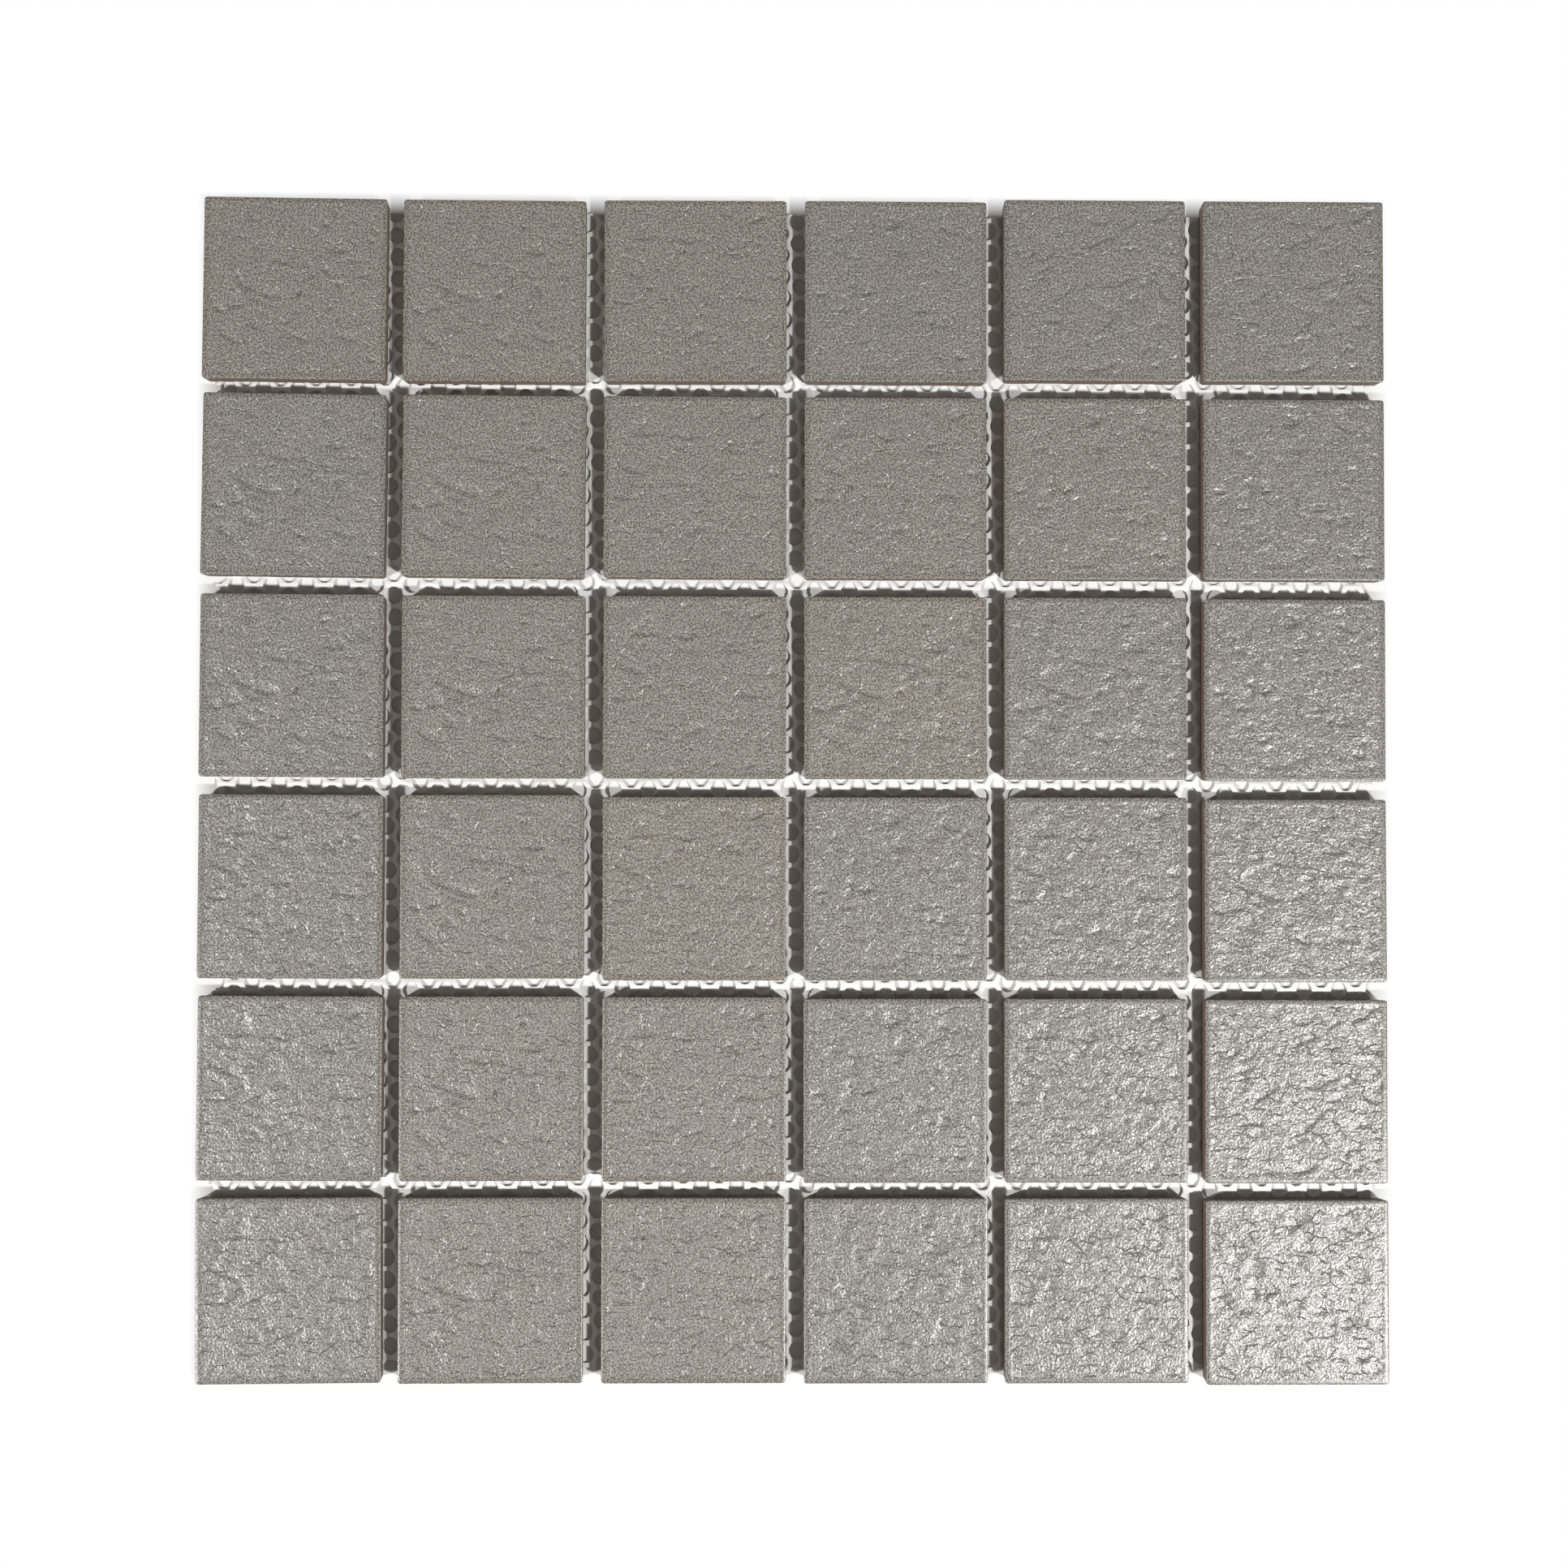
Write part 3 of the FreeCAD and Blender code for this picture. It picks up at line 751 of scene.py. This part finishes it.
def lustred_porcelain():
    """Dry-pressed porcelain under a thin titania lustre: a gritty warm grey skin whose fused
    grains glint like pewter, most where the light comes back towards the eye."""
    material, tree, output = new_material("lustred_porcelain")
    place = add_node(tree, "ShaderNodeNewGeometry", {}, {}).outputs["Position"]
    riven = add_node(tree, "ShaderNodeAttribute", {"attribute_name": "riven"}, {}).outputs["Fac"]
    crease_shade = add_node(tree, "ShaderNodeAttribute", {"attribute_name": "crease_shade"}, {}).outputs["Fac"]
    roughening = add_node(tree, "ShaderNodeMath",
                          {"operation": "MULTIPLY_ADD", 1: 0.7, 2: 0.3}, {0: riven}).outputs[0]

    # fused grains of about 0.2 mm, drawn at 0.5 mm so that they show
    grains = add_node(tree, "ShaderNodeTexVoronoi",
                      {"voronoi_dimensions": "2D", "Scale": 1 / (0.5 * MM)},
                      {"Vector": place}).outputs["Color"]
    grain = add_node(tree, "ShaderNodeSeparateColor", {}, {"Color": grains}).outputs["Blue"]
    hairline = broken_hairlines(tree, riven)
    normal = pressed_grain(tree, place, roughening)
    normal = add_node(tree, "ShaderNodeBump", {"Distance": 0.11 * MM, "invert": True},
                      {"Height": hairline, "Normal": normal}).outputs[0]
    normal = glinting_facets(tree, grains, roughening, normal)

    # painted shade: the colour is darkened along the creases and the hairlines, where shade would fall
    shade = add_node(tree, "ShaderNodeMapRange",
                     {"From Min": 0.0, "From Max": 0.18, "To Min": 1.0, "To Max": 0.64},
                     {"Value": crease_shade}).outputs["Result"]
    line_shade = add_node(tree, "ShaderNodeMath",
                          {"operation": "MULTIPLY_ADD", 1: -0.36, 2: 1.0}, {0: hairline}).outputs[0]
    shade = add_node(tree, "ShaderNodeMath",
                     {"operation": "MULTIPLY"}, {0: shade, 1: line_shade}).outputs[0]
    colour = add_node(tree, "ShaderNodeVectorMath",
                      {"operation": "SCALE"},
                      {0: speckled_body(tree, place), "Scale": shade}).outputs[0]

    # the same painted shade also lowers the lustre in creases and lines; the lustre is thin on the rim,
    # and some grains are glossier
    coat = add_node(tree, "ShaderNodeMath",
                    {"operation": "MULTIPLY_ADD", 1: 0.3, 2: 0.7}, {0: riven}).outputs[0]
    coat = add_node(tree, "ShaderNodeMath", {"operation": "MULTIPLY"}, {0: coat, 1: shade}).outputs[0]
    lustre = add_node(tree, "ShaderNodeMapRange",
                      {"From Min": 0.5, "From Max": 1.0, "To Min": 0.28, "To Max": 0.5},
                      {"Value": coat}).outputs["Result"]
    gloss = add_node(tree, "ShaderNodeMapRange",
                     {"To Min": 0.42, "To Max": 0.31}, {"Value": grain}).outputs["Result"]
    surface = add_node(tree, "ShaderNodeBsdfPrincipled", {"IOR": 1.95},
                       {"Base Color": colour, "Specular IOR Level": lustre, "Roughness": gloss,
                        "Normal": normal})
    tree.links.new(surface.outputs[0], output.inputs["Surface"])
    return material


def bare_porcelain():
    """The fired body on the walls and the back: matt brown with a fine grain, darkened towards the foot
    by painted shade, and olive grey at the top, where the lustre's spray ran over."""
    material, tree, output = new_material("bare_porcelain")
    place = add_node(tree, "ShaderNodeNewGeometry", {}, {}).outputs["Position"]
    grain = add_node(tree, "ShaderNodeTexNoise",
                     {"Scale": 1 / (0.6 * MM), "Detail": 4, "Roughness": 0.6},
                     {"Vector": place}).outputs["Fac"]
    fired = add_node(tree, "ShaderNodeMix",
                     {"data_type": "RGBA", 6: linear("#6C594D"), 7: linear("#866F61")},
                     {0: grain}).outputs[2]
    height = add_node(tree, "ShaderNodeSeparateXYZ", {}, {0: place}).outputs["Z"]
    # painted shade: the colour falls to 0.45 of itself towards the foot, where the joint lies in shadow
    foot_shade = add_node(tree, "ShaderNodeMapRange",
                   {"From Min": 0.6 * MM, "From Max": 2.4 * MM, "To Min": 0.45},
                   {"Value": height}).outputs["Result"]
    foot_shaded = add_node(tree, "ShaderNodeVectorMath",
                      {"operation": "SCALE"}, {0: fired, "Scale": foot_shade}).outputs[0]
    spray = add_node(tree, "ShaderNodeMapRange",
                     {"From Min": 3.2 * MM, "From Max": 5.2 * MM},
                     {"Value": height}).outputs["Result"]
    colour = add_node(tree, "ShaderNodeMix",
                      {"data_type": "RGBA", 7: linear("#766D60")}, {0: spray, 6: foot_shaded}).outputs[2]
    bump = add_node(tree, "ShaderNodeBump", {"Distance": 0.08 * MM}, {"Height": grain})
    surface = add_node(tree, "ShaderNodeBsdfPrincipled", {"IOR": 1.5, "Roughness": 0.8},
                       {"Base Color": colour, "Normal": bump.outputs[0]})
    tree.links.new(surface.outputs[0], output.inputs["Surface"])
    return material


def coated_glass_net():
    """Glass-fibre net dipped in white resin: bright, slightly waxy strands with drips."""
    material, tree, output = new_material("coated_glass_net")
    place = add_node(tree, "ShaderNodeNewGeometry", {}, {}).outputs["Position"]
    drips = add_node(tree, "ShaderNodeTexNoise",
                     {"Scale": 1 / (1.2 * MM), "Detail": 3}, {"Vector": place}).outputs["Fac"]
    colour = add_node(tree, "ShaderNodeMix",
                      {"data_type": "RGBA", 6: linear("#F2F2F0"), 7: linear("#FCFCFA")},
                      {0: drips}).outputs[2]
    bump = add_node(tree, "ShaderNodeBump", {"Distance": 0.05 * MM}, {"Height": drips})
    surface = add_node(tree, "ShaderNodeBsdfPrincipled", {"IOR": 1.6, "Roughness": 0.45},
                       {"Base Color": colour, "Normal": bump.outputs[0]})
    tree.links.new(surface.outputs[0], output.inputs["Surface"])
    return material


def white_table():
    """A smooth matt white board, which holds the sheet's shadow and turns to plain white as the
    camera sees it further out."""
    material, tree, output = new_material("white_table")
    board = add_node(tree, "ShaderNodeBsdfPrincipled",
                     {"Base Color": linear("#E8E8E6"), "Roughness": 0.9, "Specular IOR Level": 0.1}, {})
    plain = add_node(tree, "ShaderNodeEmission", {"Color": (1, 1, 1, 1), "Strength": 1.0}, {})
    place = add_node(tree, "ShaderNodeNewGeometry", {}, {}).outputs["Position"]
    size = add_node(tree, "ShaderNodeVectorMath", {"operation": "ABSOLUTE"}, {0: place}).outputs[0]
    parts = add_node(tree, "ShaderNodeSeparateXYZ", {}, {0: size})
    off = add_node(tree, "ShaderNodeMath", {"operation": "MAXIMUM"},
                   {0: parts.outputs["X"], 1: parts.outputs["Y"]}).outputs[0]
    edge = cad_box[1][0]
    further = add_node(tree, "ShaderNodeMapRange",
                       {"From Min": edge - 3 * MM, "From Max": edge + 2.5 * MM},
                       {"Value": off}).outputs["Result"]
    share = add_node(tree, "ShaderNodeMath", {"operation": "MULTIPLY"},
                     {0: seen_directly(tree), 1: further}).outputs[0]
    mixed = add_node(tree, "ShaderNodeMixShader", {},
                     {0: share, 1: board.outputs[0], 2: plain.outputs[0]})
    tree.links.new(mixed.outputs[0], output.inputs["Surface"])
    return material


# Pieces

def add_piece(name, mesh, materials, node):
    """An object that stands for a CAD node and rides on the sheet."""
    piece = bpy.data.objects.new(name, mesh)
    bpy.context.scene.collection.objects.link(piece)
    if not mesh.materials:
        for material in materials:
            mesh.materials.append(material)
    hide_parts(node)
    return piece


def inside_outline(row, column, off_x, off_y, turn):
    """Keeps a turned tile of an outer row or column within the sheet's outline."""
    lean = math.radians(abs(turn))
    growth = TILE_SIDE / 2 * (math.cos(lean) + math.sin(lean) - 1)
    if column == 1:
        off_x = max(off_x, growth)
    if column == len(LAYOUT[0]):
        off_x = min(off_x, -growth)
    if row == 1:
        off_y = min(off_y, -growth)
    if row == len(LAYOUT):
        off_y = max(off_y, growth)
    return off_x, off_y


def add_tiles(materials):
    rng = random.Random(7)
    meshes = {letter: tile_mesh(letter) for letter in RELIEFS}
    for row, letters in enumerate(LAYOUT, start=1):
        for column, letter in enumerate(letters, start=1):
            node = "tile_r%d_c%d" % (row, column)
            low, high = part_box(node)
            slip = [rng.uniform(-1, 1) for _ in range(3)]
            least = (LEAST_ASKEW_MM * slip[0], LEAST_ASKEW_MM * slip[1], LEAST_ASKEW_DEG * slip[2])
            off_x, off_y, turn = ASKEW.get((row, column), least)
            off_x, off_y = inside_outline(row, column, off_x, off_y, turn)
            piece = add_piece("riven_" + node, meshes[letter], materials, node)
            middle_x = (low[0] + high[0]) / 2 + off_x * MM
            middle_y = (low[1] + high[1]) / 2 + off_y * MM
            piece.location = (middle_x, middle_y, low[2])
            piece.rotation_euler = (0, 0, math.radians(turn))
            place = (row, column)
            piece["greyness"] = (place in GREYER_TILES) - 0.5 * (place in BROWNER_TILES)
            bpy.context.view_layer.update()
            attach(piece, "root")


def add_net(materials):
    piece = add_piece("open_backing_net", net_mesh(), materials, "backing_net")
    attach(piece, "root")


# The stage, the lamps and the camera

def add_floor():
    mesh = bpy.data.meshes.new("table_top")
    corners = [(-1, -1), (1, -1), (1, 1), (-1, 1)]
    points = [(x * TABLE_REACH, y * TABLE_REACH, -TABLE_GAP * MM) for x, y in corners]
    mesh.from_pydata(points, [], [(0, 1, 2, 3)])
    floor = bpy.data.objects.new("table_top", mesh)
    bpy.context.scene.collection.objects.link(floor)
    mesh.materials.append(white_table())


def add_lamps():
    for name, (bearing, height, distance, size, power) in LAMPS.items():
        lamp = bpy.data.lights.new(name, "AREA")
        lamp.shape = "DISK"
        lamp.size = size
        lamp.energy = power
        away = Vector((math.cos(math.radians(bearing)) * math.cos(math.radians(height)),
                       math.sin(math.radians(bearing)) * math.cos(math.radians(height)),
                       math.sin(math.radians(height))))
        holder = bpy.data.objects.new(name, lamp)
        holder.location = away * distance
        holder.rotation_euler = away.to_track_quat("Z", "Y").to_euler()
        bpy.context.scene.collection.objects.link(holder)


def add_room():
    """Even light from all round, white where the camera or a gloss sees it."""
    world = bpy.data.worlds.new("studio")
    world.use_nodes = True
    tree = world.node_tree
    tree.nodes.clear()
    output = tree.nodes.new("ShaderNodeOutputWorld")
    strength = add_node(tree, "ShaderNodeMapRange", {"To Min": ROOM_LIGHT, "To Max": 1.0},
                        {"Value": seen_directly(tree)}).outputs["Result"]
    glow = add_node(tree, "ShaderNodeBackground", {"Color": (1, 1, 1, 1)}, {"Strength": strength})
    tree.links.new(glow.outputs[0], output.inputs["Surface"])
    bpy.context.scene.world = world


def add_camera():
    """Straight above the sheet, a little off its middle and hardly tilted, as in the photo."""
    camera = bpy.data.cameras.new("camera")
    camera.sensor_width = SENSOR_MM
    camera.lens = FOCAL_PX / PHOTO_WIDTH_PX * SENSOR_MM
    holder = bpy.data.objects.new("camera", camera)
    turn_x = Matrix.Rotation(math.radians(TILT_X_DEG), 4, "X")
    turn_y = Matrix.Rotation(math.radians(TILT_Y_DEG), 4, "Y")
    turn_z = Matrix.Rotation(math.radians(ROLL_DEG), 4, "Z")
    sheet_to_camera = turn_z @ turn_y @ turn_x
    shift = Matrix.Translation((-CAMERA_OFF_X * MM, -CAMERA_OFF_Y * MM, -CAMERA_HEIGHT * MM))
    holder.matrix_world = (shift @ sheet_to_camera).inverted()
    bpy.context.scene.collection.objects.link(holder)
    bpy.context.scene.camera = holder


def main():
    bpy.context.scene.view_settings.view_transform = "Standard"
    add_tiles([lustred_porcelain(), bare_porcelain()])
    add_net([coated_glass_net()])
    add_floor()
    add_lamps()
    add_room()
    add_camera()
    bpy.context.view_layer.update()


main()
